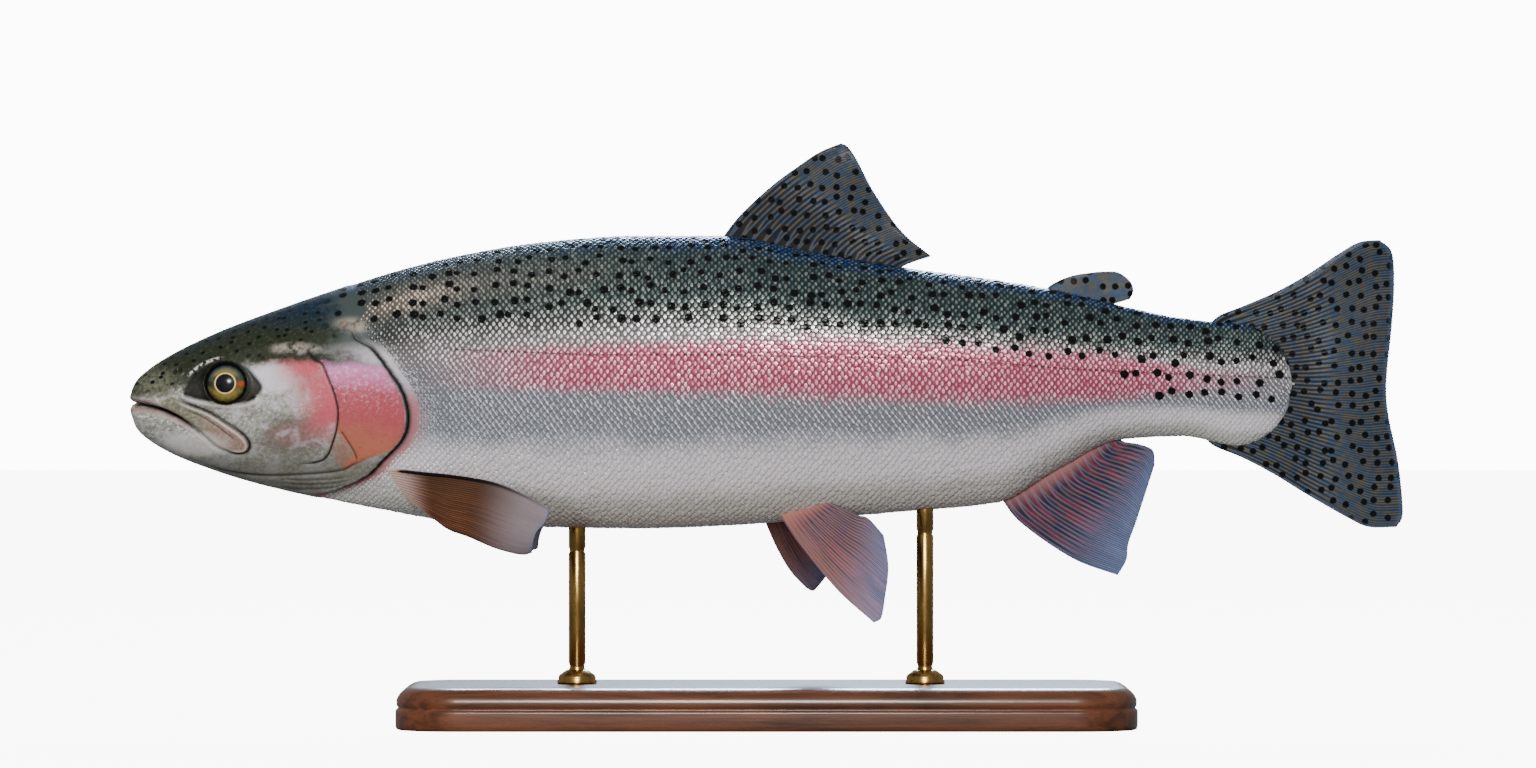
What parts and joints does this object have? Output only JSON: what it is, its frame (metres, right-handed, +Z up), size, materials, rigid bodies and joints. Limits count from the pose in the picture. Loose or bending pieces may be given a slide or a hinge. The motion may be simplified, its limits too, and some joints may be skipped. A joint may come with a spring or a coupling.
{
  "type": "rainbow trout",
  "caption": "Life-size still rainbow trout with open fins and a nearly closed mouth, held over a wooden base on slim brass rods as a museum display model.",
  "frame": {"origin": "On the floor, under the middle of the whole model: the middle of the bounding box's bottom", "axes": "+Z up. The fish faces -X with its tail to +X, and its left side faces -Y"},
  "size_m": [0.4498, 0.104, 0.2062],
  "materials": {
    "back": "wet, glossy skin",
    "jaw": "wet, glossy skin",
    "gill_cover": "wet, pearly skin",
    "flank": "wet, silvery scales",
    "eye": "clear, polished",
    "spotted_fin": "thin, slightly glossy membrane",
    "plain_fin": "thin, slightly glossy membrane",
    "stand_rod": "satin",
    "stand_base": "satin varnish"
  },
  "bodies": {
    "root": {"head": "back", "lower_jaw": "jaw", "throat": "jaw", "upper_jaw_bone_left": "jaw", "upper_jaw_bone_right": "jaw", "gill_cover_left": "gill_cover", "gill_cover_right": "gill_cover", "eye_left": "eye", "eye_right": "eye", "trunk": "flank", "tail_stalk": "flank", "dorsal_fin": "spotted_fin", "adipose_fin": "spotted_fin", "tail_fin": "spotted_fin", "anal_fin": "plain_fin", "pectoral_fin_left": "plain_fin", "pectoral_fin_right": "plain_fin", "pelvic_fin_left": "plain_fin", "pelvic_fin_right": "plain_fin", "stand_rod_front": "stand_rod", "stand_rod_rear": "stand_rod", "stand_collar_front": "stand_rod", "stand_collar_rear": "stand_rod", "stand_base": "stand_base"}
  },
  "joints": []
}
